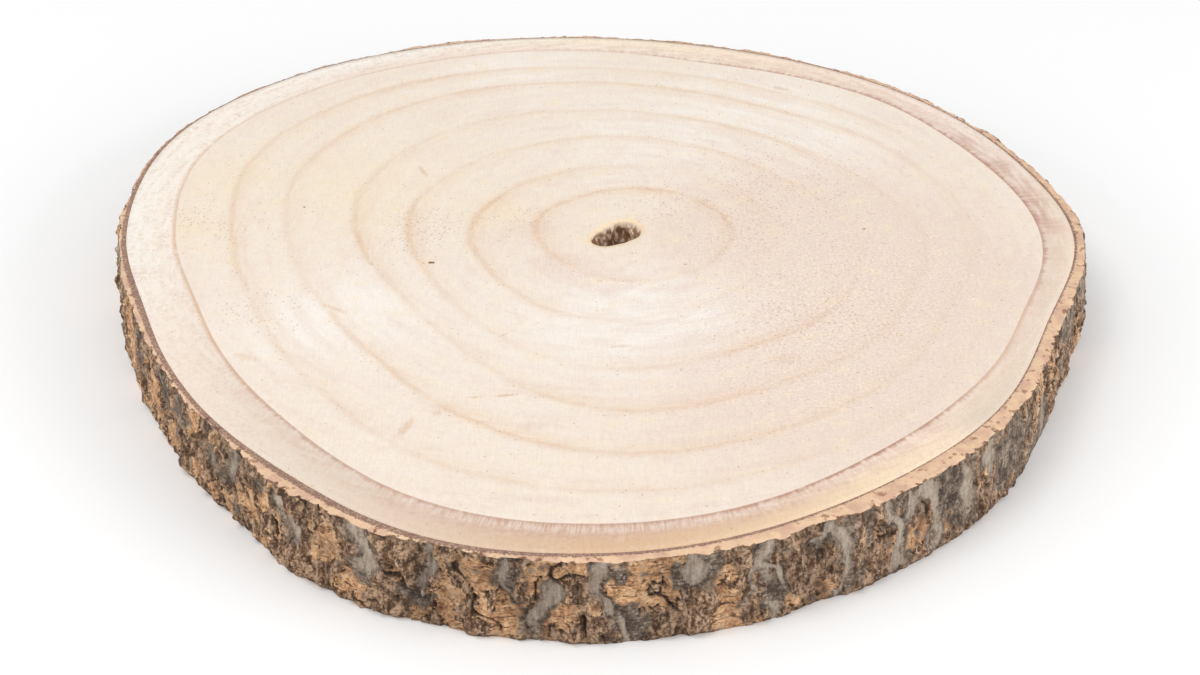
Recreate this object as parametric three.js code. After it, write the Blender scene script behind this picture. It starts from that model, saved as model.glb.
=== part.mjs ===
// Wood slice: one cross-cut of a hollow-pithed log with its bark on, lying on its sawn face.
// Millimetres, +Z up, origin in the middle of the footprint on the resting face.

import * as THREE from 'three';

const thickness = 26;                 // between the two saw cuts

// Outline over the bark, as distances from the pith. They are evenly spaced round the slice,
// counter-clockwise from +X, and a smooth closed curve runs through them.
const barkRadii = [145, 142, 141, 141, 143, 150, 158, 161, 154, 150, 156, 169, 170, 161, 151, 141];
const barkColumns = 192;              // facets round the outline
const barkRows = 5;                   // facets up the side

// The pith has rotted out of the heart and left an oval hole right through.
const pithLong = 9.3;                 // half of its long axis
const pithShort = 5.6;                // half of its short axis
const pithTurn = Math.PI / 4;         // its long axis points between +X and +Y
const pithColumns = 24;

// Bark relief: shallow upright ridges, which lean and change depth from one face to the other.
const ridgeDepth = 0.9;               // deepest ridge, in and out of the outline
const ridgeWaves = [                  // waves round the slice, and the turn each takes going up
  { count: 17, lean: 0.5, share: 0.45, start: 0.4 },
  { count: 29, lean: -0.9, share: 0.35, start: 2.1 },
  { count: 47, lean: 1.3, share: 0.2, start: 4.0 },
];
const edgeWear = 0.7;                 // bark chipped back where the saw crossed it
const edgeWearHeight = 6;             // how far from each cut the wear reaches

const turn = 2 * Math.PI;

// Point at an angle and a distance from the pith.
function polarPoint(angle, radius) {
  return new THREE.Vector3(radius * Math.cos(angle), radius * Math.sin(angle), 0);
}

// Smooth closed curve through the bark radii, as evenly spaced points.
function barkOutline() {
  const corners = barkRadii.map((radius, i) => polarPoint((turn * i) / barkRadii.length, radius));
  const curve = new THREE.CatmullRomCurve3(corners, true, 'centripetal');
  return curve.getSpacedPoints(barkColumns).slice(0, barkColumns);
}

// Oval left by the pith.
function pithOutline() {
  const oval = new THREE.EllipseCurve(0, 0, pithLong, pithShort, 0, turn, true, pithTurn);
  return oval.getPoints(pithColumns).slice(0, pithColumns);
}

// Height of the ridges at an angle and a level, where level runs from 0 at the bottom cut to 1.
function ridgeHeight(angle, level) {
  let height = 0;
  for (const wave of ridgeWaves) {
    height += wave.share * Math.sin(wave.count * angle + turn * wave.lean * level + wave.start);
  }
  return ridgeDepth * height;
}

// How far the bark is worn back at a height, from edgeWear at a cut to nothing further in.
function wearDepth(height) {
  const fromCut = Math.min(height, thickness - height);
  const share = Math.max(0, 1 - fromCut / edgeWearHeight);
  return edgeWear * share * share;
}

// Moves the outer wall's points in and out along their own radius. The pith wall stays.
function shapeBark(geometry) {
  const position = geometry.getAttribute('position');
  const innermostBark = Math.min(...barkRadii) / 2;
  for (let i = 0; i < position.count; i += 1) {
    const x = position.getX(i);
    const y = position.getY(i);
    const z = position.getZ(i);
    const radius = Math.hypot(x, y);
    if (radius > innermostBark) {
      const relief = ridgeHeight(Math.atan2(y, x), z / thickness) - wearDepth(z);
      const scale = (radius + relief) / radius;
      position.setXYZ(i, x * scale, y * scale, z);
    }
  }
  position.needsUpdate = true;
}

// Wood and bark grew together and were sawn across twice, so they are one solid.
function makeSlice() {
  const outline = new THREE.Shape(barkOutline().map((point) => new THREE.Vector2(point.x, point.y)));
  outline.holes.push(new THREE.Path(pithOutline()));
  const geometry = new THREE.ExtrudeGeometry(outline, {
    depth: thickness,
    steps: barkRows,
    bevelEnabled: false,
  });
  shapeBark(geometry);

  geometry.computeBoundingBox();
  const middle = geometry.boundingBox.getCenter(new THREE.Vector3());
  geometry.translate(-middle.x, -middle.y, 0);
  geometry.computeVertexNormals();

  const sawnWood = new THREE.MeshStandardMaterial({ color: '#efe2cf', roughness: 0.85, metalness: 0 });
  const slice = new THREE.Mesh(geometry, sawnWood);
  slice.name = 'wood_slice';
  return slice;
}

const part = new THREE.Group();
part.add(makeSlice());

export default part;
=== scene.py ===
# A slice sawn across a log: pale ringed wood, a hollow pith and rough bark round the rim.
# The wood and the bark are two closed surfaces, each worked out with numpy. Shapes are in mm.
import math
import bpy
import numpy as np
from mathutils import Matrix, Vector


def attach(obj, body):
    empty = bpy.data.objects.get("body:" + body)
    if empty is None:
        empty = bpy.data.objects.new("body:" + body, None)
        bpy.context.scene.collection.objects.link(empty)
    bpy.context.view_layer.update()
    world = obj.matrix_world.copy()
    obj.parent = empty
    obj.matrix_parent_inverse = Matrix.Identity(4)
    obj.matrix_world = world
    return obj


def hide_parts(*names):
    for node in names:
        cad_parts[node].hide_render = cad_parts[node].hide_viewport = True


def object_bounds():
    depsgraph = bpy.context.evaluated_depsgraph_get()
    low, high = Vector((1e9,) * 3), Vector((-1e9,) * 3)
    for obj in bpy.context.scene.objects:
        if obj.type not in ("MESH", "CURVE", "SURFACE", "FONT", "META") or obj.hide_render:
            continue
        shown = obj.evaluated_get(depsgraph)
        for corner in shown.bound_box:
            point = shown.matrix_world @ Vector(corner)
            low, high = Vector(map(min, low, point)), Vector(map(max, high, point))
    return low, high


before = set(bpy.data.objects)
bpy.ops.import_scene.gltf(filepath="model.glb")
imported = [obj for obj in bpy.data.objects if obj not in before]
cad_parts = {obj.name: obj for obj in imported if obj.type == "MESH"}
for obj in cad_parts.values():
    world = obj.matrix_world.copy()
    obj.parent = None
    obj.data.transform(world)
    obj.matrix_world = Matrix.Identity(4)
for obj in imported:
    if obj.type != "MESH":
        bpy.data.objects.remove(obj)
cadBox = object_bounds()
cadLow, cadHigh = (np.array(corner) * 1000 for corner in cadBox)
thickness = cadHigh[2] - cadLow[2]
fullTurn = 2 * math.pi
mm = 0.001

log = {
    # pith to the outside of the bark, evenly round from +X
    "barkRadii": [145, 142, 141, 141, 143, 150, 158, 161, 154, 150, 156, 169, 170, 161, 151, 141],
    # how thick the bark is, evenly round from +X
    "barkThickness": [3.8, 3.8, 2.9, 2.8, 2.9, 2.9, 2.0, 2.1, 2.1, 1.9, 1.8, 3.0,
                      2.8, 4.2, 2.9, 3.0, 5.7, 3.6, 4.4, 5.4, 6.4, 5.6, 5.0, 4.4],
    "pithLong": 9.3,       # half of the pith hole's long axis
    "pithShort": 5.6,
    "pithTurn": 45,        # degrees from +X to the long axis
}


# sRGB hex to linear: c / 12.92 near black, else ((c + 0.055) / 1.055) ^ 2.4
def linear(hexColour):
    srgb = np.array([int(hexColour[i:i + 2], 16) / 255 for i in (1, 3, 5)])
    light = np.where(srgb <= 0.04045, srgb / 12.92, ((srgb + 0.055) / 1.055) ** 2.4)
    return (*light, 1.0)


# Closed Catmull-Rom spline through values spaced evenly round a turn: a cubic between each two of
# them, whose slope at a value is half the difference of its two neighbours
def splineRound(values, angle):
    values = np.asarray(values, float)
    place = np.mod(angle, fullTurn) / fullTurn * len(values)
    first = np.floor(place).astype(int)
    t = (place - first)[..., None] if values.ndim > 1 else place - first
    before, here, after, beyond = (values[(first + k) % len(values)] for k in (-1, 0, 1, 2))
    return here + t / 2 * (after - before + t * (
        2 * before - 5 * here + 4 * after - beyond + t * (3 * (here - after) + beyond - before)))


# 0 below low, 1 above high, and 3t^2 - 2t^3 between
def smoothStep(low, high, value):
    t = np.clip((value - low) / (high - low), 0, 1)
    return t * t * (3 - 2 * t)


# Random field on a grid that closes on itself: white noise blurred by a Gaussian whose reach is
# given in mm for each direction, then brought to mean 0 and spread 1
def smoothNoise(seed, shape, spacing, reach):
    white = np.random.default_rng(seed).standard_normal(shape)
    upWaves, roundWaves = (np.fft.fftfreq(n, step) for n, step in zip(shape, spacing))
    blur = np.exp(-2 * math.pi ** 2 * ((upWaves[:, None] * reach[0]) ** 2
                                       + (roundWaves[None, :] * reach[1]) ** 2))
    field = np.fft.ifft2(np.fft.fft2(white) * blur).real
    return (field - field.mean()) / field.std()


# Distance from the pith to the outside of the bark
def barkRadius(angle):
    return splineRound(log["barkRadii"], angle)


# Distance from the pith to where the wood meets the bark
def woodRadius(angle):
    return barkRadius(angle) - splineRound(log["barkThickness"], angle)


# Ellipse in polar form: r = ab / sqrt((b cos)^2 + (a sin)^2)
def pithRadius(angle):
    a, b = log["pithLong"], log["pithShort"]
    turned = angle - math.radians(log["pithTurn"])
    return a * b / np.sqrt((b * np.cos(turned)) ** 2 + (a * np.sin(turned)) ** 2)


# The pith stands where the outline's box falls on the CAD model's box
def findPith():
    angle = np.linspace(0, fullTurn, 720, endpoint=False)
    x, y = barkRadius(angle) * np.cos(angle), barkRadius(angle) * np.sin(angle)
    middle = (cadLow[:2] + cadHigh[:2]) / 2
    return middle - np.array([x.min() + x.max(), y.min() + y.max()]) / 2


pith = findPith()


# Closed surface from a grid of points, rows along the section and columns round the pith. Both
# directions close on themselves, so the surface has no pole and no open edge
def closedGrid(name, angle, radius, height, bakePlace, numbers, materials, faceMaterial):
    rows, columns = radius.shape
    x, y = pith[0] + radius * np.cos(angle), pith[1] + radius * np.sin(angle)
    points = np.stack([x, y, cadLow[2] + height], axis=-1) * mm
    row, column = np.meshgrid(np.arange(rows), np.arange(columns), indexing="ij")
    cornerRows = row[..., None] + np.array([0, 1, 1, 0])
    cornerColumns = column[..., None] + np.array([0, 0, 1, 1])
    corners = (cornerRows % rows) * columns + cornerColumns % columns
    mesh = bpy.data.meshes.new(name)
    mesh.from_pydata(points.reshape(-1, 3), [], corners.reshape(-1, 4))
    mesh.uv_layers.new(name="OFBake").uv.foreach_set(
        "vector", bakePlace(cornerRows, cornerColumns, row, column).astype(np.float32).ravel())
    for key, values in numbers.items():
        kind = {2: ("FLOAT", "value"), 3: ("FLOAT_VECTOR", "vector")}[values.ndim]
        layer = mesh.attributes.new(key, kind[0], "POINT")
        layer.data.foreach_set(kind[1], values.astype(np.float32).ravel())
    for material in materials:
        mesh.materials.append(material)
    mesh.polygons.foreach_set("material_index", faceMaterial.astype(np.int32).ravel())
    mesh.polygons.foreach_set("use_smooth", np.ones(rows * columns, bool))
    mesh.update()
    mesh.validate()
    piece = bpy.data.objects.new(name, mesh)
    bpy.context.collection.objects.link(piece)
    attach(piece, "root")
    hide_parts("wood_slice")
    print(name, "has", 2 * rows * columns, "triangles")
    return piece


# Adds one shader node and returns its first output, or the named one. Inputs are given by name or
# by number: a socket is linked, anything else is set. Stops are a colour ramp's places and
# colours. The rest are the node's own settings
def addNode(tree, kind, inputs=None, stops=None, output=None, **settings):
    node = tree.nodes.new("ShaderNode" + kind)
    for key, value in settings.items():
        setattr(node, key, value)
    for key, value in (inputs or {}).items():
        socket = node.inputs[key] if isinstance(key, int) else next(
            s for s in node.inputs if s.name == key and s.enabled)
        if isinstance(value, bpy.types.NodeSocket):
            tree.links.new(value, socket)
        else:
            socket.default_value = value
    if stops:
        while len(node.color_ramp.elements) < len(stops):
            node.color_ramp.elements.new(0.5)
        for element, (place, colour) in zip(node.color_ramp.elements, stops):
            element.position = place
            element.color = colour
    return node.outputs[output] if output else next((s for s in node.outputs if s.enabled), None)


sawnWood = {
    "columns": 640, "topRows": 84, "sideRows": 3, "bottomRows": 34, "holeRows": 28,
    # growth rings from the pith out: the share of the way to the bark's outside at which each ring
    # ends, and how strongly its edge shows, both every 30 degrees from +X
    "rings": [
        {"share": [0.248, 0.243, 0.228, 0.200, 0.170, 0.163, 0.158, 0.155, 0.150, 0.165, 0.200, 0.235],
         "tone": [0.6, 1.0, 1.0, 0.7, 0.7, 0.8, 0.8, 0.7, 0.5, 0.4, 0.3, 0.4]},
        {"share": [0.345, 0.340, 0.330, 0.310, 0.285, 0.270, 0.292, 0.294, 0.294, 0.300, 0.312, 0.335],
         "tone": [0.1, 0.3, 0.1, 0.2, 0.6, 1.0, 0.8, 0.6, 0.5, 0.3, 0.2, 0.1]},
        {"share": [0.520, 0.460, 0.452, 0.458, 0.425, 0.410, 0.415, 0.412, 0.420, 0.462, 0.482, 0.540],
         "tone": [0.1, 0.3, 0.5, 0.4, 0.4, 0.4, 0.8, 0.45, 0.25, 0.3, 0.7, 0.4]},
        {"share": [0.655, 0.600, 0.582, 0.590, 0.575, 0.540, 0.520, 0.490, 0.500, 0.585, 0.615, 0.668],
         "tone": [0.2, 0.3, 0.6, 0.35, 0.4, 0.4, 0.9, 0.55, 0.35, 0.7, 0.4, 0.3]},
        {"share": [0.765, 0.752, 0.715, 0.735, 0.730, 0.690, 0.660, 0.640, 0.645, 0.710, 0.737, 0.760],
         "tone": [0.3, 0.3, 0.7, 0.5, 0.6, 0.6, 0.3, 0.6, 0.8, 0.7, 0.4, 0.25]},
        {"share": [0.845, 0.830, 0.800, 0.815, 0.820, 0.800, 0.770, 0.772, 0.785, 0.815, 0.830, 0.840],
         "tone": [0.1, 0.2, 0.6, 0.3, 0.7, 0.5, 0.6, 0.45, 0.4, 0.35, 0.2, 0.1]},
    ],
    # mm from the bark's outside to the line between sapwood and heartwood, every 15 degrees
    "sapDepth": [13.9, 14.1, 14.1, 12.6, 14.2, 16.1, 13.1, 12.8, 14.4, 15.1, 15.9, 17.1,
                 17.9, 19.4, 18.6, 19.0, 19.7, 17.4, 17.0, 16.8, 18.7, 17.5, 13.4, 12.6],
    "crumbDepth": 0.9,     # mm that the rotted pith wall crumbles in and out
    "holeTorn": 0.4,       # mm that its outline is torn
    "rimRound": 0.5,       # mm rounded off the edge of the pith hole
    # sapwood colours every 30 degrees from +X: next to the heartwood, then next to the bark
    "sapInner": ["#e4d0c0", "#e6d3c6", "#efdcca", "#f5e5d6", "#efdfd1", "#f4ebe0",
                 "#f4e9dc", "#ecded0", "#dccbbb", "#d2b19d", "#efdac6", "#e8d4c4"],
    "sapOuter": ["#ead8c4", "#f2e2d6", "#f5e1cf", "#f6e6d0", "#f7eee4", "#f6ebdf",
                 "#f2ece1", "#eedecf", "#e2d1c0", "#d8b592", "#f1d9bb", "#e8d6c5"],
    # how strongly the line between heartwood and sapwood is stained, every 30 degrees, then how
    # far a brown cloud spreads out of it
    "sapStain": [0.9, 0.9, 0.8, 0.45, 0.4, 0.6, 0.8, 0.9, 0.7, 0.6, 1.15, 0.6],
    "sapCloud": [0.4, 0.4, 0.4, 0.35, 0.1, 0.05, 0.1, 0.2, 0.5, 0.9, 0.5, 0.2],
    # where the heartwood is flushed pink, bleached, straw yellow or dotted with open pores: soft
    # round patches, each with its place from the pith and its reach in mm
    "blush": [(61, 22, 38), (56, -27, 38), (50, -87, 45), (67, -67, 42), (97, -26, 34), (-27, 4, 11),
              (-17, -20, 9), (-4, -29, 8), (27, -2, 13)],
    "bleach": [(-5, -58, 30), (17, -47, 24), (-71, -50, 26), (-93, -54, 20), (18, 68, 30),
               (56, 98, 26), (-32, 120, 24), (72, 60, 22)],
    "straw": [(-134, 5, 16), (-80, 29, 30), (-125, 38, 14), (-36, 14, 12), (0, 0, 12)],
    "porous": [(-134, 5, 13), (-118, 8, 11), (-62, -3, 12), (-58, 10, 10), (-28, 6, 10),
               (-105, -45, 14), (48, 30, 30), (62, -45, 26), (30, 10, 20)],
    # and where the sapwood is paler, or has bled brownish purple
    "sapPale": [(102, -105, 9), (112, -96, 10), (120, -85, 9)],
    "bleed": [(134, 8, 7), (134, 20, 8), (132, 33, 9), (126, 48, 8), (117, 66, 7)],
}


# Where each ring ends: barkRadius * share, and last barkRadius - sapDepth, round the heartwood
def ringEdges(angle):
    edges = [barkRadius(angle) * splineRound(ring["share"], angle) for ring in sawnWood["rings"]]
    return edges + [barkRadius(angle) - splineRound(sawnWood["sapDepth"], angle)]


# Rings grown at a point: it rises evenly from one ring's edge to the next, and the pitch is the
# number of mm between those two edges
def growthAt(angle, radius):
    edges = [np.zeros_like(angle)] + ringEdges(angle) + [woodRadius(angle)]
    growth, pitch = np.zeros_like(radius), np.zeros_like(radius)
    for inner, outer in zip(edges, edges[1:]):
        growth += np.clip((radius - inner) / (outer - inner), 0, 1)
        pitch = np.where(radius >= inner, outer - inner, pitch)
    return growth, pitch


# How strongly ring edges show: each ring's tone, fading evenly into its neighbours' tones
def ringToneAt(angle, growth):
    return sum(splineRound(ring["tone"], angle) * np.clip(1 - np.abs(growth - number), 0, 1)
               for number, ring in enumerate(sawnWood["rings"], 1))


# Sum of soft round patches: exp(-distance^2 / size^2) for each (x, y, size) in mm from the pith
def patches(x, y, places):
    return sum(np.exp(-((x - px) ** 2 + (y - py) ** 2) / size ** 2) for px, py, size in places)


# The section of the sawn wood, turned round the pith: up the pith wall, out over the top, down
# under the bark and back in along the bottom
def makeSawnWood(materials):
    face, pithWall = materials
    columns = sawnWood["columns"]
    angle = np.arange(columns) / columns * fullTurn
    torn = sawnWood["holeTorn"] * smoothNoise(13, (2, columns), (1.0, 0.05), (1.0, 0.9))[0]
    hole, edge = pithRadius(angle) + torn, woodRadius(angle)
    holeShare = np.linspace(0, 1, sawnWood["holeRows"])[:, None]
    topShare = np.linspace(0, 1, sawnWood["topRows"])[:, None]
    sideShare = np.linspace(0, 1, sawnWood["sideRows"] + 2)[1:-1, None]
    bottomShare = np.linspace(1, 0, sawnWood["bottomRows"])[:, None]

    crumbSpacing = (thickness / sawnWood["holeRows"], fullTurn * hole.mean() / columns)
    crumbs = (0.7 * smoothNoise(11, (sawnWood["holeRows"] * 2, columns), crumbSpacing, (1.6, 0.9))
              + 0.5 * smoothNoise(12, (sawnWood["holeRows"] * 2, columns), crumbSpacing, (0.7, 0.4)))
    crumbs = crumbs[:sawnWood["holeRows"]] * smoothStep(0, 0.1, holeShare) * smoothStep(1, 0.88, holeShare)
    rimRound = sawnWood["rimRound"]
    holeRadius = hole + sawnWood["crumbDepth"] * crumbs
    holeHeight = rimRound + (thickness - 2 * rimRound) * holeShare + 0 * angle
    topRadius = (hole + rimRound) + (edge - hole - rimRound) * topShare
    bottomRadius = (hole + rimRound) + (edge - hole - rimRound) * bottomShare
    sideRadius = edge + 0 * sideShare
    flat = np.zeros((1, columns))
    radius = np.concatenate([holeRadius, topRadius, sideRadius, bottomRadius])
    height = np.concatenate([holeHeight, thickness + 0 * topRadius,
                             thickness * (1 - sideShare) + flat, 0 * bottomRadius])
    everyAngle = angle + 0 * radius

    holeRows, topRows = sawnWood["holeRows"], sawnWood["topRows"]
    growth, pitch = growthAt(everyAngle, radius)
    x, y = radius * np.cos(everyAngle), radius * np.sin(everyAngle)
    share = np.clip(growth - len(sawnWood["rings"]) - 1, 0, 1)[..., None]
    inner = splineRound(np.array([linear(h) for h in sawnWood["sapInner"]]), everyAngle)
    outer = splineRound(np.array([linear(h) for h in sawnWood["sapOuter"]]), everyAngle)
    numbers = {
        "growth": growth,
        "pitch": pitch,
        "ringTone": ringToneAt(everyAngle, growth),
        "grain": np.stack([np.cos(everyAngle) * 100, np.sin(everyAngle) * 100, radius], axis=-1),
        "fromHole": radius - hole - rimRound,
        "sapTone": (inner + (outer - inner) * smoothStep(0.15, 0.75, share))[..., :3],
        "sapStain": splineRound(sawnWood["sapStain"], everyAngle),
        "sapCloud": splineRound(sawnWood["sapCloud"], everyAngle),
        **{key: patches(x, y, sawnWood[key])
           for key in ("blush", "bleach", "straw", "porous", "sapPale", "bleed")},
    }

    # top and bottom lie flat on the bake sheet, the pith wall and the hidden side are strips
    half = (cadHigh[:2] - cadLow[:2]).max() / 2 + 1
    middle = (cadHigh[:2] + cadLow[:2]) / 2
    px, py = pith[0] + x - middle[0], pith[1] + y - middle[1]

    def bakePlace(cornerRows, cornerColumns, row, column):
        at = cornerRows % radius.shape[0], cornerColumns % columns
        disc = np.stack([px[at], py[at]], axis=-1) / half
        around = cornerColumns / columns
        upHole = (cornerRows % radius.shape[0]) / holeRows
        strip = np.stack([0.01 + 0.47 * around, 0.02 + 0.26 * np.minimum(upHole, 1)], axis=-1)
        side = np.stack([0.71 + 0.27 * around,
                         0.75 + 0.2 * (cornerRows - holeRows - topRows + 1) / (sideShare.size + 1)], axis=-1)
        top = np.array([0.338, 0.662]) + 0.328 * disc
        bottom = np.array([0.752, 0.248]) + 0.238 * disc * np.array([-1, 1])
        lastHole, lastTop = holeRows - 1, holeRows + topRows - 1
        firstBottom = lastTop + sideShare.size + 1
        row4 = row[..., None, None]
        return np.where(row4 < lastHole + 1, strip,
                        np.where(row4 < lastTop, top, np.where(row4 < firstBottom, side, bottom)))

    row = np.arange(radius.shape[0])[:, None] + np.zeros((1, columns), int)
    isHole = (row < holeRows - 1) | (row == radius.shape[0] - 1)
    return closedGrid("sawn_wood", angle, radius, height, bakePlace, numbers,
                      [face, pithWall], isHole.astype(int))


bark = {
    "columns": 1600, "wallRows": 1, "topRows": 6, "sideRows": 52, "bottomRows": 3,
    "underWood": 0.4,      # mm that the bark runs in under the edge of the wood
    "sink": 0.12,          # mm that its sawn edge lies below the wood's face
    "chips": 0.3,          # mm broken off the sawn edges
    "sawnHold": 3.0,       # mm from a cut over which the relief grows to its full depth
    "worn": 0.6,           # mm that the sawn edges are worn back
    "thinnest": 0.7,       # mm of bark left over the wood at the bottom of the deepest crack
    # relief of the rough side, in mm out of the outline
    "swell": 0.45, "ridge": 0.55, "hollow": 0.35, "streakDepth": 0.45, "crack": 1.3,
    "crumple": 0.6, "crumb": 0.24, "layer": 0.16,
    # width in mm of the dark band next to the wood, every 15 degrees from +X
    "darkBand": [0.8, 0.8, 0.6, 0.5, 0.6, 0.6, 0.4, 0.4, 0.5, 0.7, 0.8, 1.3,
                 1.5, 2.0, 1.5, 1.6, 2.3, 1.9, 1.3, 1.0, 0.4, 0.4, 0.4, 0.5],
    # how far tan plates spread into the brown, and grey skin over both, every 30 degrees, then how
    # much of the cork's fine grain stands upright
    "tanShare": [-0.2, -0.1, 0.0, 0.0, 0.1, 0.3, 0.35, 0.35, 0.25, 0.3, -0.1, -0.3],
    "greyShare": [0.5, 0.3, 0.1, 0.0, 0.0, 0.0, -0.1, -0.1, -0.1, 0.0, 0.4, 0.6],
    "upright": [1.0, 1.0, 0.8, 0.6, 0.6, 0.8, 1.0, 0.7, 0.1, 0.0, 0.5, 1.0],
    "sawnWidth": 4.5,      # mm over a sawn edge, for its share of the bake sheet
    "bakeStrips": 5,
    # The front is laid out from listed places between these degrees, and the rest is random. Tan plates and
    # grey
    # skin: degrees round from +X, mm up from the floor, half width and half height in mm
    "front": (203, 322),
    "plates": [(207, 12, 5, 9), (214, 17, 2.5, 8), (213, 7, 4, 5), (220.5, 20, 3, 5), (219.5, 9, 4, 3),
               (223.5, 5, 4, 4), (227, 5, 4, 4), (231, 12, 2.5, 4), (233.5, 18, 3, 4), (233.5, 5, 2.5, 4),
               (241.2, 8, 2.5, 4.5), (245.3, 6, 5, 4), (242.5, 18, 4, 3), (250.5, 15, 2, 2),
               (252, 5, 2.5, 3), (254.8, 6, 5.5, 6), (254.4, 20, 2.5, 6), (258.2, 18, 4, 6),
               (259.8, 9, 5, 9), (263.5, 24, 4, 2), (266.6, 24, 4.5, 4), (263, 20, 4.5, 4),
               (264.8, 9, 3.5, 7), (271.3, 18, 6.5, 9), (274.3, 21, 3.5, 6), (274, 13, 3, 3),
               (275.6, 24, 2.5, 4), (279.3, 7, 4.5, 8), (279.4, 19, 2, 3), (281, 2, 3, 3),
               (286.3, 5, 2.5, 4.5), (289.8, 5, 2.5, 4), (294.2, 17, 4, 2.5), (296.8, 9, 1.8, 5.5),
               (300.3, 10, 3.5, 5), (302, 4, 2.5, 2), (304.8, 10, 1.4, 6), (309.6, 14, 2, 8),
               (311.2, 19, 1.5, 6), (313.8, 17, 3, 7), (310.8, 6, 3, 3)],
    "skins": [(211.5, 20, 5, 5), (217, 18, 6, 6), (225, 12, 4, 4), (229, 6, 3, 3), (232.5, 22, 3, 3),
              (246, 14, 4, 3), (251.5, 8, 4, 4), (260.5, 19, 4, 8), (263, 7, 5, 5), (264, 17, 3, 3),
              (269.3, 18, 1.5, 8), (270.5, 7, 6, 5), (278, 20, 2.5, 6), (276, 19, 2.5, 5),
              (284, 11, 5, 4), (292.8, 5, 3, 3), (298.6, 21, 5, 4), (304.8, 21, 4, 5),
              (306.3, 20, 4, 5), (308.6, 8, 3, 6), (317, 15, 6, 6)],
    # streaks: degrees and mm up at one end, the same at the other, and half width in mm
    "streaks": [(223, 24, 223.3, 15, 2.1), (228.7, 25, 228.5, 21, 2.6), (228.5, 21, 227.3, 16, 4.2),
                (237, 21, 238, 14, 2.6), (246.5, 25, 247.5, 15, 4.2), (253.2, 24, 252.5, 12, 2.3),
                (259.7, 25, 260.2, 13, 1.4), (264.3, 17.5, 262.7, 6, 2.5), (268.3, 26, 268.9, 12, 2.1),
                (269.8, 8, 270.3, 1, 1.6), (276.8, 25, 277.1, 16, 2.3), (283.5, 25, 283.3, 19, 2.6),
                (283.3, 19, 282, 11, 2.0), (283.8, 18, 284.8, 13, 1.2), (283.8, 6, 283.9, 1, 1.6),
                (288.2, 21, 290.2, 24, 1.6), (290.4, 25, 291.6, 19, 2.3), (291.6, 19, 291.8, 10, 2.6),
                (291.8, 10, 291, 2, 2.6), (296.2, 25, 296.5, 19, 2.1), (296.5, 19, 298.4, 12, 2.3),
                (298.4, 12, 298.6, 3, 2.7), (300.5, 24, 299, 18, 1.6), (301.5, 25, 303.2, 17, 2.3),
                (303.2, 17, 303.5, 4, 3.1), (307.2, 24, 308.3, 10, 2.0), (312.3, 24, 312, 16, 2.1)],
    # cracks, given in the same way
    "cracks": [(256.3, 21, 257.5, 12, 0.9), (257.5, 12, 259.2, 4, 0.9), (263.2, 21, 262.4, 15, 0.6),
               (262.4, 15, 262, 10, 0.7), (264.8, 25, 263.8, 21, 0.9), (263.8, 21, 267.6, 22.5, 0.7),
               (273.2, 21, 273.5, 15, 0.6), (273.5, 15, 275.2, 11, 0.8), (286.8, 15, 286.6, 12, 0.9),
               (249, 18, 251, 9, 0.9), (235.5, 14, 236.5, 8, 0.9), (295.5, 17, 296, 12, 0.8),
               (267.3, 9, 267.5, 2, 0.9), (231.5, 16, 233, 8, 0.8), (301.2, 19, 301.6, 14, 0.7)],
}


# Nearness to the best of several places, 1 - distance / reach: 1 in the middle, 0 at its rim and
# negative outside. A place is an ellipse, or a line between two points with a half width
def nearness(places, angle, up, radius):
    best = np.full(angle.shape, -3.0)
    for degrees, middle, *reach in places:
        x, y = (angle - math.radians(degrees)) * radius, up - middle
        if len(reach) == 2:
            away = np.hypot(x / reach[0], y / reach[1])
        else:
            toX, toY = math.radians(reach[0] - degrees) * radius, reach[1] - middle
            along = np.clip((x * toX + y * toY) / (toX ** 2 + toY ** 2), 0, 1)
            away = np.hypot(x - along * toX, y - along * toY) / reach[2]
        best = np.maximum(best, 1 - away)
    return best


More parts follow.
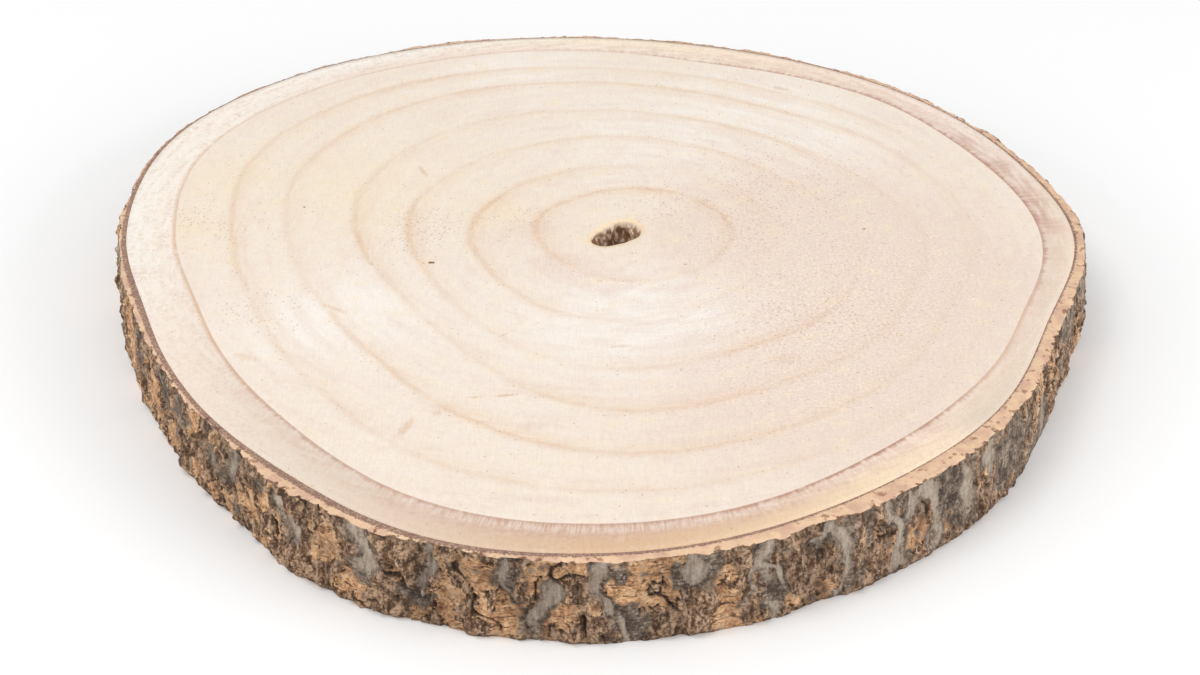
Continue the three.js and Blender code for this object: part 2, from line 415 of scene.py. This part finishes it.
# The section of the bark, turned round the pith: up against the wood, out over the sawn edge, down
# the rough side and back in. Upright grey streaks run where a tall narrow random field passes
# through zero, with dark grey skin beside them. Another field sorts the rest into tan plates, where
# it is high, and brown ridges. The side is the outline plus swells, ridges and crumbs, less the
# streaks and the cracks, which run where a third field passes through zero. Where the grain stands
# upright the relief is shallower, and tall narrow ridges join the crumbs. The side never comes
# nearer to the wood than the thinnest bark
def makeBark(materials):
    columns, sideRows = bark["columns"], bark["sideRows"]
    angle = np.arange(columns) / columns * fullTurn
    inner, outline = woodRadius(angle) - bark["underWood"], barkRadius(angle)
    spacing = (thickness / (sideRows - 1), fullTurn * outline.mean() / columns)

    def field(seed, up, around):
        return smoothNoise(seed, (2 * sideRows, columns), spacing, (up, around))[:sideRows]

    ragged = 0.4 * field(21, 0.8, 0.6) + 0.6 * field(22, 2.2, 1.2)
    wander = field(23, 9.0, 3.4) + 0.3 * field(24, 2.6, 1.4)
    greyness = field(25, 7.0, 5.0)
    streak = 1 - np.abs(wander) / 0.42 - 1.5 * smoothStep(0.6, -0.3, greyness)
    skin = 0.7 * greyness + 0.1 - 0.8 * np.abs(wander - 0.45)
    plate = 0.75 * field(26, 5.5, 2.3)
    crack = field(27, 4.0, 1.7) + 0.5 * field(28, 1.0, 0.8)
    inCrack = np.exp(-(crack / 0.17) ** 2) * smoothStep(-0.5, 0.6, field(29, 4.0, 3.0))

    # at the front the same four are laid out from the listed places, with edges that wander by a mm or two
    everyAngle = angle + 0.008 * field(35, 2.2, 1.6)
    up = np.linspace(thickness, 0, sideRows)[:, None] + 0.8 * field(36, 1.8, 1.8)
    isFront = (smoothStep(bark["front"][0] - 2, bark["front"][0] + 2, np.degrees(angle))
               * smoothStep(bark["front"][1] + 2, bark["front"][1] - 2, np.degrees(angle)))

    def laidOut(key, values, strength, lowest):
        placed = strength * np.maximum(nearness(bark[key], everyAngle, up, outline), lowest)
        return values + (placed - values) * isFront

    streak = laidOut("streaks", streak, 1.5, -1.5) + 0.3 * ragged
    skin = (np.maximum(laidOut("skins", skin, 1.0, -0.7) + splineRound(bark["greyShare"], angle),
                       streak + 0.1) + 0.6 * ragged)
    plate = laidOut("plates", plate, 1.7, -0.6) + splineRound(bark["tanShare"], angle) + ragged
    cut = smoothStep(0.15, 0.95, laidOut("cracks", -1, 1.0, -1))
    inCrack = np.maximum(inCrack * (1 - 0.5 * isFront), cut)

    ledge = np.exp(-(plate / 0.14) ** 2) * smoothStep(-0.3, 0.9, field(30, 3.0, 2.0))
    inStreak = smoothStep(0.0, 0.5, streak)
    inSkin = smoothStep(-0.15, 0.15, skin)
    isTan = smoothStep(-0.15, 0.15, plate)
    inCrack = np.maximum(inCrack, ledge * (1 - inSkin)) * (1 - inStreak)
    isRough = (1 - 0.65 * isTan) * (1 - 0.6 * inSkin) * (1 - inStreak)
    fromCut = thickness / 2 - np.abs(np.linspace(-1, 1, sideRows)[:, None]) * thickness / 2
    isUpright = splineRound(bark["upright"], angle)
    held = (0.4 + 0.6 * smoothStep(0, bark["sawnHold"], fromCut)) * (1 - 0.45 * isUpright)
    crumple = field(37, 2.6, 1.0) + 0.6 * field(38, 1.1, 0.7) + 0.6 * isUpright * field(39, 7.0, 0.9)
    relief = (bark["swell"] * field(31, 14.0, 5.0) * (1 - 0.3 * isUpright)
              - bark["crack"] * inCrack * (0.4 + 0.6 * held)
              - bark["worn"] * smoothStep(2.5, 0, fromCut)
              + held * (bark["ridge"] * (1 - isTan) * (1 - inSkin) - bark["hollow"] * inSkin
                        - bark["streakDepth"] * inStreak
                        + (bark["crumple"] * crumple + bark["crumb"] * field(32, 0.5, 0.5)) * isRough
                        + bark["layer"] * field(34, 0.3, 1.8) * (1 - inStreak)))

    wallShare = np.linspace(0, 1, bark["wallRows"] + 2)[1:-1, None]
    topShare = np.linspace(0, 1, bark["topRows"], endpoint=False)[:, None]
    sideShare = np.linspace(0, 1, sideRows)[:, None]
    bottomShare = np.linspace(1, 0, bark["bottomRows"] + 1)[1:, None]
    side = np.maximum(outline + relief, woodRadius(angle) + bark["thinnest"])
    chips = bark["chips"] * np.abs(field(32, 1.0, 1.6)[:1])
    lowest = 0 * angle
    topHeight = (thickness - bark["sink"] * (1 - smoothStep(0, 0.2, topShare))
                 - chips * smoothStep(0.6, 1, topShare))
    sideHeight = (thickness - chips) * (1 - sideShare) + lowest
    radius = np.concatenate([inner + 0 * wallShare, inner + (side[:1] - inner) * topShare,
                             side, inner + (side[-1:] - inner) * bottomShare])
    height = np.concatenate([thickness * wallShare + lowest, topHeight, sideHeight,
                             0 * bottomShare + lowest])
    everyAngle = angle + 0 * radius

    wallRows, topRows = bark["wallRows"], bark["topRows"]
    firstSide, lastSide = wallRows + topRows, wallRows + topRows + sideRows - 1

    # values on the side run on unchanged over the sawn edges
    def alongSection(values):
        top = np.repeat(values[:1], firstSide, axis=0)
        return np.concatenate([top, values, np.repeat(values[-1:], bark["bottomRows"], axis=0)])

    numbers = {
        "streak": alongSection(streak),
        "skin": alongSection(skin),
        "plate": alongSection(plate),
        "crack": alongSection(inCrack),
        "relief": alongSection(relief),
        "fromEdge": side[:1] - radius,
        "fromWood": radius - woodRadius(everyAngle),
        "darkBand": splineRound(bark["darkBand"], everyAngle),
        "upright": splineRound(bark["upright"], everyAngle),
        "grain": np.stack([np.cos(everyAngle) * 150, np.sin(everyAngle) * 150, radius], axis=-1),
    }

    # the ring is cut into equal strips that lie one above the other on the bake sheet
    strips = bark["bakeStrips"]
    bottomRows, wallLength = bark["bottomRows"], 0.3
    length = np.concatenate([np.full(wallRows, wallLength), np.full(topRows, bark["sawnWidth"] / topRows),
                             np.full(sideRows - 1, spacing[0]),
                             np.full(bottomRows, bark["sawnWidth"] / bottomRows), [wallLength]])
    upTo = np.concatenate([[0], np.cumsum(length)]) / length.sum()

    def bakePlace(cornerRows, cornerColumns, row, column):
        strip = (column * strips // columns)[..., None]
        u = (cornerColumns - strip * columns / strips) / (columns / strips)
        v = (strip + 0.02 + 0.96 * upTo[cornerRows]) / strips
        return np.stack([0.004 + 0.992 * u, v], axis=-1)

    row = np.arange(radius.shape[0])[:, None] + np.zeros((1, columns), int)
    isSide = (row >= firstSide) & (row < lastSide)
    return closedGrid("bark", angle, radius, height, bakePlace, numbers, materials, isSide.astype(int))


# An empty material, with its node adder, and the maths that all four materials use
def startMaterial(name):
    print("material", name)
    material = bpy.data.materials.new(name)
    material.use_nodes = True
    tree = material.node_tree
    tree.nodes.clear()

    def add(kind, inputs=None, **settings):
        return addNode(tree, kind, inputs, **settings)

    def mixed(share, below, above):
        return add("Mix", {"Factor": share, "A": below, "B": above}, data_type="RGBA")

    def rise(value, start, end):
        return add("MapRange", {"Value": value, "From Min": start, "From Max": end},
                   interpolation_type="SMOOTHSTEP")

    def times(*factors):
        product = factors[0]
        for factor in factors[1:]:
            product = add("Math", {0: product, 1: factor}, operation="MULTIPLY")
        return product

    place = add("VectorMath", {0: add("TexCoord", output="Object"), "Scale": 1 / mm}, operation="SCALE")
    return material, add, mixed, rise, times, place


sawnWoodLook = {
    "cream": "#efe2d4", "blush": "#e8d5c7", "bleached": "#f6efe8", "straw": "#f0dfc2",
    "lip": "#efd6b0", "ringHaze": "#e4c6a4", "ringLine": "#cda37c", "pore": "#b88f70",
    "sapPale": "#dccbb8", "sapMottle": "#dfc7b3", "bleed": "#c59c8c", "sapHair": "#f5ece4",
    "sapCloud": "#c9a088", "sapLine": "#b07d67", "mark": "#cd9e66", "deepMark": "#55371f",
    "lineWidth": 1.8,      # mm
    "hazeWidth": 8.0,
    "mottleSize": 9.0,
    "poreSpacing": 1.0,    # drawn coarser than the real 0.3 mm pores, so that they show
    "fibreLength": 7.0,
    "markDepth": 5.0,      # mm below the upper face that a dent's colour would reach
    # dents and specks: place from the pith, half length, half width in mm, turn in degrees, and how
    # dark they are
    "marks": [(-56, -18, 1.3, 1.0, 0, 1.0), (-98, 17, 0.6, 0.5, 0, 0.9), (-95, 14, 0.5, 0.5, 0, 0.7),
              (-62, 41, 5.0, 1.0, 114, 0.5), (-58, -108, 7.0, 1.7, 70, 0.45),
              (-50, -101, 2.0, 1.4, 66, 0.35), (-106, -72, 5.0, 2.2, 150, 0.3),
              (-31, -92, 3.4, 0.9, 10, 0.6), (-40, -93, 2.6, 0.8, 0, 0.5),
              (1, -66, 4.2, 1.0, 8, 0.4), (-83, -45, 5.5, 1.3, 145, 0.45), (57, 101, 3.5, 1.4, 160, 0.4),
              (77, 3, 0.9, 0.6, 0, 0.9), (21, -19, 0.8, 0.6, 20, 0.7), (-5, -29, 1.6, 0.6, 20, 0.5),
              (-33, -60, 2.2, 0.6, 40, 0.4), (-16, -76, 0.6, 0.5, 0, 0.6), (70, -48, 0.6, 0.5, 0, 0.6),
              (-24, -108, 5.0, 3.0, 20, 0.2), (48, -73, 6.0, 3.5, 20, 0.2)],
}


# Paulownia, a pale ring-porous hardwood, sawn across the grain and sanded. The cut ends of its
# pores scatter the light, so it looks matt and chalky, with faint fibres and tan ring edges
def sawnWoodMaterial():
    look = sawnWoodLook
    material, add, mixed, rise, times, place = startMaterial("sanded paulownia end grain")
    colour = {key: linear(value) for key, value in look.items() if isinstance(value, str)}
    grain = add("Attribute", attribute_name="grain", output="Vector")
    (growth, pitch, ringTone, fromHole, sapStain, sapCloud, blush, bleach, straw, porous, sapPale,
     bleed) = (add("Attribute", attribute_name=name, output="Fac")
               for name in ("growth", "pitch", "ringTone", "fromHole", "sapStain", "sapCloud", "blush",
                            "bleach", "straw", "porous", "sapPale", "bleed"))

    def noise(size, detail=4.0, base=place):
        scaled = add("VectorMath", {0: base, 1: tuple(1 / length for length in size)},
                     operation="MULTIPLY")
        return add("TexNoise", {"Vector": scaled, "Scale": 1.0, "Detail": detail})

    def minus(value, other):
        return add("Math", {0: value, 1: other}, operation="SUBTRACT")

    def plus(value, other):
        return add("Math", {0: value, 1: other}, operation="ADD")

    # mm from a point to the ring edges inside and outside it, with a slight waver
    frays = noise([9.0, 9.0, 1.2], 4.0, grain)
    waver = plus(times(minus(noise([14.0] * 3, 3.0), 0.5), 0.1), times(minus(frays, 0.5), 0.12))
    fromInner = add("Math", {0: plus(growth, waver)}, operation="FRACT")
    outOfRing = times(fromInner, pitch)
    intoRing = times(minus(1.0, fromInner), pitch)

    line = times(rise(add("Math", {0: outOfRing, 1: intoRing}, operation="MINIMUM"), look["lineWidth"], 0.0),
                 rise(frays, 0.1, 0.5))
    haze = times(rise(add("Math", {0: times(outOfRing, 2.5), 1: intoRing}, operation="MINIMUM"),
                      look["hazeWidth"], 0.0), rise(frays, 0.1, 0.6))
    early = rise(outOfRing, 6.0, 0.0)
    patchy = rise(noise([20.0] * 3, 3.0), 0.15, 0.5)
    ringShare = times(ringTone, patchy)

    # heartwood: cream, flushed, bleached and straw yellow in patches, with a straw lip at the hole
    cloud = noise([22.0] * 3)
    mottled = noise([look["mottleSize"]] * 3, 5.0)
    yellowed = noise([look["mottleSize"] * 0.7] * 3, 5.0)
    banded = noise([26.0, 26.0, 4.0], 4.0, grain)
    tinted = plus(times(rise(mottled, 0.42, 0.7), 0.25), times(rise(banded, 0.45, 0.7), 0.35))
    woolly = times(rise(noise([2.6] * 3, 4.0), 0.45, 0.7), 0.35)
    heart = mixed(plus(plus(blush, tinted), woolly), colour["cream"], colour["blush"])
    heart = mixed(times(bleach, rise(banded, 0.95, 0.15), 0.75), heart, colour["bleached"])
    strawed = plus(times(straw, 0.45), times(rise(yellowed, 0.45, 0.7), rise(banded, 0.6, 0.4), 0.5))
    heart = mixed(strawed, heart, colour["straw"])
    heart = mixed(times(rise(fromHole, 1.9, 0.0), rise(mottled, 0.25, 0.5), 0.8), heart, colour["lip"])
    heart = mixed(times(haze, ringShare, 0.55), heart, colour["ringHaze"])
    heart = mixed(times(line, ringShare, 0.3), heart, colour["ringLine"])

    # sapwood: a brown cloud that runs round the log and pale radial hairs next to the heartwood,
    # both fading towards the bark, then a fine mottle, the purple bleed and the stained line
    heartRings = float(len(sawnWood["rings"]) + 1)
    inSap = rise(growth, heartRings - 0.015, heartRings + 0.015)
    sapDepth = times(minus(growth, heartRings), pitch)
    hairs = noise([0.36, 0.36, 5.0], 3.0, grain)
    streaks = noise([1.2, 1.2, 9.0], 3.0, grain)
    drift = noise([7.0, 7.0, 1.8], 4.0, grain)
    mottle = noise([4.0] * 3)
    grains = noise([1.5] * 3, 3.0)
    sapwood = add("Attribute", attribute_name="sapTone", output="Color")
    cloudy = times(rise(drift, 0.3, 0.62), rise(streaks, 0.2, 0.6), rise(sapDepth, 10.0, 4.0))
    sapwood = mixed(times(cloudy, sapCloud, 0.8), sapwood, colour["sapCloud"])
    hairy = times(rise(hairs, 0.38, 0.6), rise(sapDepth, 5.5, 3.0), rise(sapCloud, 0.2, 0.9), 0.4)
    sapwood = mixed(hairy, sapwood, colour["sapHair"])
    sapwood = mixed(times(rise(drift, 0.35, 0.65), rise(grains, 0.38, 0.68), 0.6), sapwood,
                    colour["sapMottle"])
    sapwood = mixed(times(sapPale, 0.9), sapwood, colour["sapPale"])
    bled = times(bleed, rise(streaks, 0.0, 0.7), rise(drift, 0.25, 0.6), rise(sapDepth, 12.0, 1.0), 0.75)
    sapwood = mixed(bled, sapwood, colour["bleed"])
    isBrown = rise(sapCloud, 0.15, 0.4)
    frayed = add("Math", {0: minus(streaks, 0.5), 1: times(isBrown, -4.0), 2: sapDepth},
                 operation="MULTIPLY_ADD")
    lined = times(rise(frayed, 1.9, 0.2), sapStain, rise(mottle, 0.1, 0.45))
    lineTone = mixed(isBrown, colour["ringLine"], colour["sapLine"])
    sapwood = mixed(times(lined, 0.75), sapwood, lineTone)
    wood = mixed(inSap, heart, sapwood)

    # pores: one dot in each cell, kept where a ring or a patch is porous
    pores = add("TexVoronoi", {"Vector": place, "Scale": 1 / look["poreSpacing"]})
    chance = pores.node.outputs["Color"]
    wanted = plus(plus(times(early, ringTone, 0.25), times(porous, rise(cloud, 0.3, 0.6), 0.5)), 0.08)
    kept = add("Math", {0: chance, 1: wanted}, operation="LESS_THAN")
    dots = times(rise(pores, 0.42, 0.18), kept)
    wood = mixed(times(dots, 0.5), wood, colour["pore"])

    # sanding fibres, all one way, with a fine grit where the wood is flushed
    fuzz = noise([0.5, look["fibreLength"], 1.0], 3.0)
    dusty = noise([0.8, 0.8, 0.8], 3.0)
    value = add("MapRange", {"Value": plus(fuzz, dusty), "From Max": 2.0, "To Min": 0.82,
                             "To Max": 1.16})
    value = plus(value, times(minus(noise([0.9] * 3), 0.5), blush, 0.3))

    # dents and specks, on the upper face only
    marked = 0.0
    for x, y, length, width, turn, tone in look["marks"]:
        centre = (pith[0] + x, pith[1] + y, cadHigh[2])
        moved = add("Mapping", {"Vector": place, "Location": centre,
                                "Rotation": (0, 0, math.radians(turn)),
                                "Scale": (length, width, look["markDepth"])}, vector_type="TEXTURE")
        away = add("VectorMath", {0: moved}, operation="LENGTH", output="Value")
        torn = add("Math", {0: fuzz, 1: 1.2, 2: away}, operation="MULTIPLY_ADD")
        marked = add("Math", {0: times(rise(torn, 1.7, 0.9), tone), 1: marked}, operation="MAXIMUM")
    wood = mixed(times(marked, 0.75), wood, colour["mark"])
    wood = mixed(times(rise(marked, 0.55, 1.0), 0.8), wood, colour["deepMark"])
    wood = add("HueSaturation", {"Color": wood, "Value": value})

    height = minus(minus(minus(fuzz, times(line, 0.5)), times(dots, 1.2)), times(marked, 0.2))
    bump = add("Bump", {"Height": height, "Strength": 0.35, "Distance": 0.12 * mm})
    shader = add("BsdfPrincipled", {"Base Color": wood, "Roughness": 0.78, "IOR": 1.5, "Normal": bump})
    add("OutputMaterial", {"Surface": shader})
    return material


pithLook = {"fibre": "#f6e0c8", "pale": "#f0dfc9", "rot": "#9c7559", "fibreSize": 1.6}


# Wall of the hollow pith: torn, half-rotted soft fibre. It is dull and crumbly, paler at the lips
def pithWallMaterial():
    look = pithLook
    material, add, mixed, rise, times, place = startMaterial("crumbled pith")
    stretched = add("VectorMath", {0: place, 1: (1.0, 1.0, 0.45)}, operation="MULTIPLY")
    lumps = add("TexNoise", {"Vector": stretched, "Scale": 1 / look["fibreSize"], "Detail": 5.0})
    dark = rise(lumps, 0.47, 0.62)
    depth = add("SeparateXYZ", {0: place}, output="Z")
    fromFace = add("Math", {0: add("Math", {0: depth, 1: -thickness / 2}, operation="ADD")},
                   operation="ABSOLUTE")
    lip = rise(fromFace, thickness / 2 - 2.5, thickness / 2)
    wall = mixed(dark, linear(look["rot"]), linear(look["fibre"]))
    wall = mixed(lip, wall, linear(look["pale"]))
    bump = add("Bump", {"Height": lumps, "Strength": 0.8, "Distance": 0.5 * mm})
    shader = add("BsdfPrincipled", {"Base Color": wall, "Roughness": 0.9, "IOR": 1.5, "Normal": bump})
    add("OutputMaterial", {"Surface": shader})
    return material


innerBarkLook = {
    "flesh": "#e3c09e", "pink": "#d2ab91", "nick": "#94654a", "darkBand": "#806156", "brown": "#6b4a35",
    "nickSize": 2.6,       # mm
}


# Inner bark cut by the saw: soft pale orange bast, with short torn nicks, a purple-brown band
# where it meets the wood and crumbs of brown cork along its outer edge
def innerBarkMaterial():
    look = innerBarkLook
    material, add, mixed, rise, times, place = startMaterial("sawn inner bark")
    fromWood, fromEdge, bandWidth, plate, skin = (
        add("Attribute", attribute_name=name, output="Fac")
        for name in ("fromWood", "fromEdge", "darkBand", "plate", "skin"))
    cloud = add("TexNoise", {"Vector": place, "Scale": 1 / 5, "Detail": 4.0})
    fine = add("TexNoise", {"Vector": place, "Scale": 1 / 1.1, "Detail": 4.0})
    nicks = add("TexNoise", {"Vector": place, "Scale": 1 / look["nickSize"], "Detail": 3.0})
    flesh = mixed(rise(cloud, 0.4, 0.65), linear(look["flesh"]), linear(look["pink"]))
    flesh = mixed(times(rise(nicks, 0.57, 0.67), 0.75), flesh, linear(look["nick"]))
    specks = add("TexNoise", {"Vector": place, "Scale": 1 / 0.7, "Detail": 3.0})
    ragged = add("Math", {0: specks, 1: 1.6, 2: fromWood}, operation="MULTIPLY_ADD")
    inward = add("Math", {0: add("Math", {0: bandWidth, 1: 0.9}, operation="ADD"), 1: ragged},
                 operation="SUBTRACT")
    speckled = add("MapRange", {"Value": specks, "From Min": 0.45, "From Max": 0.62, "To Min": 0.9,
                                "To Max": 0.5})
    flesh = mixed(times(rise(inward, -0.2, 0.3), speckled), flesh, linear(look["darkBand"]))
    lumps = add("TexNoise", {"Vector": place, "Scale": 1 / 2.6, "Detail": 5.0, "Roughness": 0.65})
    crusted = add("Math", {0: lumps, 1: -7.0, 2: fromEdge}, operation="MULTIPLY_ADD")
    crust = times(rise(crusted, -3.1, -3.7), rise(plate, 0.8, 0.2), rise(skin, 0.6, 0.1))
    flesh = mixed(times(crust, 0.85), flesh, linear(look["brown"]))
    value = add("MapRange", {"Value": fine, "To Min": 0.85, "To Max": 1.12})
    flesh = add("HueSaturation", {"Color": flesh, "Value": value})
    height = add("Math", {0: fine, 1: nicks}, operation="ADD")
    bump = add("Bump", {"Height": height, "Strength": 0.5, "Distance": 0.25 * mm})
    shader = add("BsdfPrincipled", {"Base Color": flesh, "Roughness": 0.85, "IOR": 1.5, "Normal": bump})
    add("OutputMaterial", {"Surface": shader})
    return material


corkLook = {
    # each stretch of bark runs from its darkest crumbs to its lightest
    "tan": ["#92684b", "#c4976e", "#dfb991"],
    "brown": ["#4a3526", "#7d624b", "#ad8f75"],
    "skin": ["#4c3e34", "#7b6a5c", "#ab9988"],
    "streak": ["#867565", "#ab9a89", "#c3b4a4"],
    "dash": "#4b3423", "deep": "#2c1e15",
    "crumbSize": 0.8,      # mm
    "layerHeight": 0.55,   # mm between the thin flat layers that the cork splits into
    "layerLength": 3.0,
}


# Old cork bark: dull brown ridges that flake away to tan plates, with weathered grey skin, smooth
# grey streaks and near-black cracks, dark partly of their own and partly as painted shade. The colour
# also carries painted shade where the relief sinks and painted light where it rises. It is dry and
# very rough, so there is no gloss
def corkMaterial():
    look = corkLook
    material, add, mixed, rise, times, place = startMaterial("fissured cork bark")
    streak, skin, plate, crack, relief, upright = (
        add("Attribute", attribute_name=name, output="Fac")
        for name in ("streak", "skin", "plate", "crack", "relief", "upright"))

    def noise(size, detail=5.0):
        scaled = add("VectorMath", {0: place, 1: tuple(1 / length for length in size)},
                     operation="MULTIPLY")
        return add("TexNoise", {"Vector": scaled, "Scale": 1.0, "Detail": detail, "Roughness": 0.6})

    crumbs = noise([look["crumbSize"]] * 3)
    coarse = noise([3.0, 3.0, 4.0])
    patch = noise([8.0, 8.0, 11.0], 2.0)
    layers = add("Mix", {"Factor": upright, "B": noise([0.7, 0.7, 7.0], 3.0),
                         "A": noise([look["layerLength"]] * 2 + [look["layerHeight"]], 3.0)})
    strands = noise([1.0, 1.0, 4.0], 4.0)

    def stretch(key, value):
        low, middle, high = (linear(colour) for colour in look[key])
        return add("ValToRGB", {"Fac": value}, stops=[(0.34, low), (0.5, middle), (0.64, high)])

    # adds a pattern, less its mean of a half, times an amount
    def shifted(value, pattern, amount):
        offCentre = add("Math", {0: pattern, 1: 0.5}, operation="SUBTRACT")
        return add("Math", {0: offCentre, 1: amount, 2: value}, operation="MULTIPLY_ADD")

    # a value made ragged at its edges
    def ragged(value, fine, broad):
        return shifted(shifted(value, crumbs, fine), coarse, broad)

    folds = noise([1.3, 1.3, 3.5], 3.0)
    ridge = stretch("brown", shifted(shifted(shifted(0.5, crumbs, 0.75), coarse, 0.8), folds, 1.1))
    ridge = mixed(times(rise(layers, 0.56, 0.64), 0.6), ridge, linear(look["deep"]))
    flake = stretch("tan", shifted(shifted(0.5, crumbs, 0.8), coarse, 0.8))
    dashed = times(rise(layers, 0.54, 0.61), rise(patch, 0.35, 0.55))
    flake = mixed(times(dashed, 0.85), flake, linear(look["dash"]))
    cork = mixed(rise(ragged(plate, 2.6, 2.2), -0.2, 0.2), ridge, flake)
    layered = shifted(shifted(shifted(shifted(0.45, crumbs, 0.6), layers, 0.6), coarse, 0.9), upright, 0.05)
    cork = mixed(rise(ragged(skin, 1.8, 1.6), -0.3, 0.3), cork, stretch("skin", layered))
    smooth = shifted(shifted(shifted(0.47, strands, 0.7), crumbs, 0.35), streak, 0.06)
    cork = mixed(rise(ragged(streak, 1.2, 1.4), -0.1, 0.9), cork, stretch("streak", smooth))
    # near-black in the cracks: partly the cork's own dark and partly painted shade in the crevices
    cork = mixed(times(rise(ragged(crack, 1.0, 0.4), 0.3, 0.7), 0.85), cork, linear(look["deep"]))
    # painted shade and painted light: the colour is darkened where the relief sinks into cracks, hollows and
    # streaks, and lightened where it stands out
    shade = add("MapRange", {"Value": relief, "From Min": -1.2, "From Max": 0.8, "To Min": 0.72,
                             "To Max": 1.15})
    cork = add("HueSaturation", {"Color": cork, "Value": shade})
    height = add("Math", {0: crumbs, 1: times(layers, 0.6)}, operation="SUBTRACT")
    bump = add("Bump", {"Height": height, "Strength": 0.9, "Distance": 0.7 * mm})
    shader = add("BsdfPrincipled", {"Base Color": cork, "Roughness": 0.92, "IOR": 1.45, "Normal": bump})
    add("OutputMaterial", {"Surface": shader})
    return material


studio = {
    "elevation": 31.65,    # degrees that the camera looks down
    "distance": 751.5,     # mm from the camera to the point it looks at
    "lens": 78.0,          # mm, on a sensor 36 mm wide
    "aimFromMiddle": (0.2, -48.0),  # mm on the top face, where the camera looks
    "floorSize": 40.0,     # m
    "paper": "#fbfbfb",
    "sky": 0.65,           # brightness of the even white surround
    # soft lamps: name, place and size in m, and power in W
    "lamps": [("key", (-0.7, -0.5, 1.7), 0.9, 9.0), ("right fill", (1.4, -0.7, 0.5), 1.2, 15.0),
              ("left fill", (-1.4, -0.7, 0.5), 1.2, 9.0)],
}


# Camera on a tilted line: aim + distance * (0, -cos e, sin e)
def makeCamera():
    tilt = math.radians(studio["elevation"])
    middle = (cadLow[:2] + cadHigh[:2]) / 2
    aim = np.array([*(middle + studio["aimFromMiddle"]), cadHigh[2]])
    spot = aim + studio["distance"] * np.array([0, -math.cos(tilt), math.sin(tilt)])
    data = bpy.data.cameras.new("camera")
    data.lens = studio["lens"]
    data.sensor_width = 36.0
    data.clip_start, data.clip_end = 0.01, 50.0
    camera = bpy.data.objects.new("camera", data)
    camera.location = spot * mm
    camera.rotation_euler = (math.pi / 2 - tilt, 0, 0)
    bpy.context.collection.objects.link(camera)
    bpy.context.scene.camera = camera
    print("camera ready")


# Large soft light: an area lamp that faces the middle of the slice
def makeLamp(name, place, size, power):
    data = bpy.data.lights.new(name, "AREA")
    data.size = size
    data.energy = power
    lamp = bpy.data.objects.new(name, data)
    lamp.location = place
    lamp.rotation_euler = (-lamp.location).to_track_quat("-Z", "Y").to_euler()
    lamp.visible_camera = False    # so that no lamp stands in a low view
    bpy.context.collection.objects.link(lamp)


# Wide white paper floor just under the slice, an even white surround and the lamps
def makeStudio():
    half = studio["floorSize"] / 2
    mesh = bpy.data.meshes.new("floor")
    mesh.from_pydata([(-half, -half, 0), (half, -half, 0), (half, half, 0), (-half, half, 0)], [],
                     [(0, 1, 2, 3)])
    material = bpy.data.materials.new("white paper")
    material.use_nodes = True
    paper = material.node_tree.nodes["Principled BSDF"]
    paper.inputs["Base Color"].default_value = linear(studio["paper"])
    paper.inputs["Roughness"].default_value = 0.9
    mesh.materials.append(material)
    floor = bpy.data.objects.new("floor", mesh)
    floor.location.z = (cadLow[2] - 0.05) * mm
    bpy.context.collection.objects.link(floor)
    world = bpy.data.worlds.new("studio")
    world.use_nodes = True
    surround = world.node_tree.nodes["Background"]
    surround.inputs["Color"].default_value = (1.0, 1.0, 1.0, 1.0)
    surround.inputs["Strength"].default_value = studio["sky"]
    bpy.context.scene.world = world
    for name, place, size, power in studio["lamps"]:
        makeLamp(name, place, size, power)
    bpy.context.scene.view_settings.view_transform = "Standard"
    print("studio ready")


woodPiece = makeSawnWood([sawnWoodMaterial(), pithWallMaterial()])
barkPiece = makeBark([innerBarkMaterial(), corkMaterial()])
makeCamera()
makeStudio()
